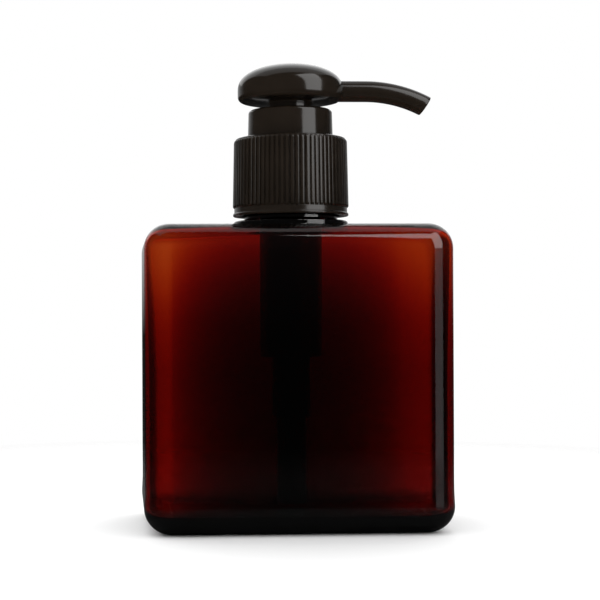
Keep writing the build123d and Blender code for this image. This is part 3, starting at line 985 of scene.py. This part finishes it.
def spring_tree():
    tree = bpy.data.node_groups.new("coiled_wire", "GeometryNodeTree")
    tree.interface.new_socket("Start", in_out="INPUT", socket_type="NodeSocketGeometry")
    inputs = {}
    for name in ("Turns", "Coil radius", "Wire radius", "Length", "Base height"):
        socket = tree.interface.new_socket(name, in_out="INPUT", socket_type="NodeSocketFloat")
        inputs[name] = socket.identifier
    colour = tree.interface.new_socket("Finish", in_out="INPUT", socket_type="NodeSocketMaterial")
    inputs["Finish"] = colour.identifier
    tree.interface.new_socket("Wire", in_out="OUTPUT", socket_type="NodeSocketGeometry")
    graph = Graph(tree)
    given = tree.nodes.new("NodeGroupInput")
    turns, coil, wire, length, base, material = (
        Value(tree, given.outputs[i]) for i in range(1, 7)
    )
    line = graph.node("GeometryNodeCurvePrimitiveLine")
    line = graph.node("GeometryNodeResampleCurve", None, {"Curve": line, "Count": WIRE_POINTS})
    along = graph.node("GeometryNodeSplineParameter")
    angle = along * turns * (2 * pi)
    climb = along * turns * wire * 2
    spread = along.fade(1 / SPRING_TURNS, 1 - 1 / SPRING_TURNS, 0.0, 1.0)
    height = base + climb + spread * (length - turns * wire * 2)
    sockets = {"X": coil * angle.wave("COSINE"), "Y": coil * angle.wave("SINE"), "Z": height}
    place = graph.node("ShaderNodeCombineXYZ", None, sockets)
    line = graph.node("GeometryNodeSetPosition", None, {"Geometry": line, "Position": place})
    sockets = {"Resolution": WIRE_SIDES, "Radius": wire}
    circle = graph.node("GeometryNodeCurvePrimitiveCircle", None, sockets)
    sockets = {"Curve": line, "Profile Curve": circle, "Fill Caps": True}
    tube = graph.node("GeometryNodeCurveToMesh", None, sockets)
    tube = graph.node("GeometryNodeRealizeInstances", None, {"Geometry": tube})
    sockets = {"Geometry": tube, "Material": material}
    dressed = graph.node("GeometryNodeSetMaterial", None, sockets)
    tree.links.new(dressed.socket, tree.nodes.new("NodeGroupOutput").inputs[0])
    return tree, inputs


def make_spring():
    coil = new_piece("coil_spring", [(0, 0, 0)], [], STEEL)
    tree, inputs = spring_tree()
    step = coil.modifiers.new("coil", "NODES")
    step.node_group = tree
    sizes = {
        "Turns": SPRING_TURNS, "Coil radius": SPRING_RADIUS, "Wire radius": WIRE_RADIUS,
        "Length": spring_high.z - spring_low.z - 2 * WIRE_RADIUS,
        "Base height": spring_low.z + WIRE_RADIUS, "Finish": STEEL,
    }
    for name, value in sizes.items():
        step[inputs[name]] = value
    settle(coil)
    return coil


spring = make_spring()
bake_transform(spring)
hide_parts("return_spring")
print("spring has", len(spring.data.polygons), "faces")

# %% [markdown]
# ## The pieces that stay as they are
# The sleeve, the stem, the gasket, the housing, its tube and the parts inside it have plain
# shapes, which the frame already gives in full. They keep them and only get their finish.

# %% Finishes of the plain pieces
FINISHES = {
    "lock_sleeve": BLACK_POLISHED, "stem": BLACK_SATIN, "pump_housing": BLACK_SATIN,
    "dip_tube": BLACK_SATIN, "gasket": SOFT, "piston": SOFT, "valve_stem": NATURAL,
    "inlet_ball": STEEL,
}
for node, material in FINISHES.items():
    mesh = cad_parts[node].data
    mesh.materials.clear()
    mesh.materials.append(material)
print(len(FINISHES), "plain pieces have their finish")

# %% [markdown]
# ## Floor, backdrop and light
# The studio is white where it is seen directly, and pale through the bottle. Glossy black
# plastic shows only what it mirrors, so the mirrored studio is nearly black, apart from a
# lighter part straight behind. One softbox overhead and one behind light the whole scene.
# Two more at the front right, one above the other, only show in glossy surfaces. The floor
# is white, is dark where it is mirrored, and fades out around the object.

# %% Floor
CAMERA_RAY, DIFFUSE_RAY, GLOSSY_RAY, TRANSMISSION_RAY = 0, 2, 3, 6
FLOOR_HALF = 0.4
FLOOR_SOLID, FLOOR_GONE = 0.06, 0.25
FLOOR_WHITE, FLOOR_DIMMED = 0.92, 0.88


def add_floor():
    mesh = bpy.data.meshes.new("floor")
    s = FLOOR_HALF
    mesh.from_pydata([(-s, -s, 0), (s, -s, 0), (s, s, 0), (-s, s, 0)], [], [(0, 1, 2, 3)])
    finish = Finish("floor_white", Roughness=0.8)
    mirrored = finish.node("ShaderNodeLightPath", out=GLOSSY_RAY)
    through = finish.node("ShaderNodeLightPath", out=TRANSMISSION_RAY)
    finish.feed("Base Color", FLOOR_WHITE - FLOOR_DIMMED * mirrored * (1 - through))
    away = finish.node(
        "ShaderNodeVectorMath", {"operation": "LENGTH"}, {0: finish.place()}, out=1,
    )
    finish.feed("Alpha", away.fade(FLOOR_SOLID, FLOOR_GONE, 1.0, 0.0))
    mesh.materials.append(finish.material)
    floor = bpy.data.objects.new("floor", mesh)
    bpy.context.scene.collection.objects.link(floor)


add_floor()
print(f"floor solid to {FLOOR_SOLID / MM:.0f} mm and gone at {FLOOR_GONE / MM:.0f} mm")

# %% [markdown]
# The world's brightness depends on the kind of ray that meets it. A camera ray sees full
# white. Rays that scatter get an even light, rays through the bottle a backdrop that is
# bright behind, and mirrored rays the dark studio.

# %% World
SCATTERED_LIGHT = 1.4
MIRRORED_LEAST = 0.012
# where a fade starts and ends, and its values there
BACKDROP_FADE = (-0.15, 0.25, 0.12, 1.0)
HORIZON_FADE = (-0.02, 0.08, 0.0, 1.0)
MIRRORED_FADE = (0.6, 1.0, 0.028, 0.6)


def add_world():
    world = bpy.data.worlds.new("studio")
    bpy.context.scene.world = world
    world.use_nodes = True
    tree = world.node_tree
    coords = tree.nodes.new("ShaderNodeTexCoord")
    split = tree.nodes.new("ShaderNodeSeparateXYZ")
    tree.links.new(coords.outputs["Generated"], split.inputs[0])
    rays = tree.nodes.new("ShaderNodeLightPath")
    camera_ray, diffuse_ray, through_ray = (
        Value(tree, rays.outputs[i]) for i in (CAMERA_RAY, DIFFUSE_RAY, TRANSMISSION_RAY)
    )
    behind = Value(tree, split.outputs["Y"])
    backdrop = behind.fade(*BACKDROP_FADE)
    above = Value(tree, split.outputs["Z"]).fade(*HORIZON_FADE)
    mirrored = MIRRORED_LEAST + above * behind.fade(*MIRRORED_FADE)
    bounce = diffuse_ray * SCATTERED_LIGHT + through_ray * backdrop
    bounce = bounce + (1 - diffuse_ray) * (1 - through_ray) * mirrored
    background = tree.nodes["Background"]
    background.inputs["Color"].default_value = (1, 1, 1, 1)
    strength = camera_ray + (1 - camera_ray) * bounce
    tree.links.new(strength.socket, background.inputs["Strength"])


add_world()
print("scattered light", SCATTERED_LIGHT)

# %% [markdown]
# A softbox is placed by its direction round the object: how far it is turned from the front,
# how high it stands in degrees, and how far away it is.

# %% Softboxes
AIM_HEIGHT = 0.1
MIDDLE, FOOT = (0, 0, AIM_HEIGHT), (0, 0, 0)


def add_softbox(name, place, target, width, height, power, casts=True):
    """A softbox facing a target; one that doesn't cast only shows in glossy surfaces."""
    data = bpy.data.lights.new(name, "AREA")
    data.shape = "RECTANGLE"
    data.size = width
    data.size_y = height
    data.energy = power
    lamp = bpy.data.objects.new(name, data)
    lamp.location = place
    direction = Vector(target) - Vector(place)
    lamp.rotation_euler = direction.to_track_quat("-Z", "Y").to_euler()
    lamp.visible_diffuse = casts
    bpy.context.scene.collection.objects.link(lamp)


def around(azimuth, elevation, distance, height=AIM_HEIGHT):
    """A place round the object; azimuth 0 is in front and grows to the right."""
    a, e = radians(azimuth), radians(elevation)
    return (distance * sin(a) * cos(e), -distance * cos(a) * cos(e), height + distance * sin(e))


# each has its place, its target, its width and height in metres and its power in watts
add_softbox("softbox_right", around(46, 32, 0.76), MIDDLE, 0.56, 0.9, 4.4, casts=False)
add_softbox("softbox_low", around(46, 0, 0.88, -0.01), FOOT, 0.56, 0.27, 0.26, casts=False)
add_softbox("softbox_top", around(180, 79, 1.5), MIDDLE, 2.6, 1.15, 4.3)
add_softbox("softbox_back", around(180, 38, 1.5), MIDDLE, 2.6, 1.2, 8.0)
bpy.context.scene.view_settings.view_transform = "Standard"
print("view transform", bpy.context.scene.view_settings.view_transform)
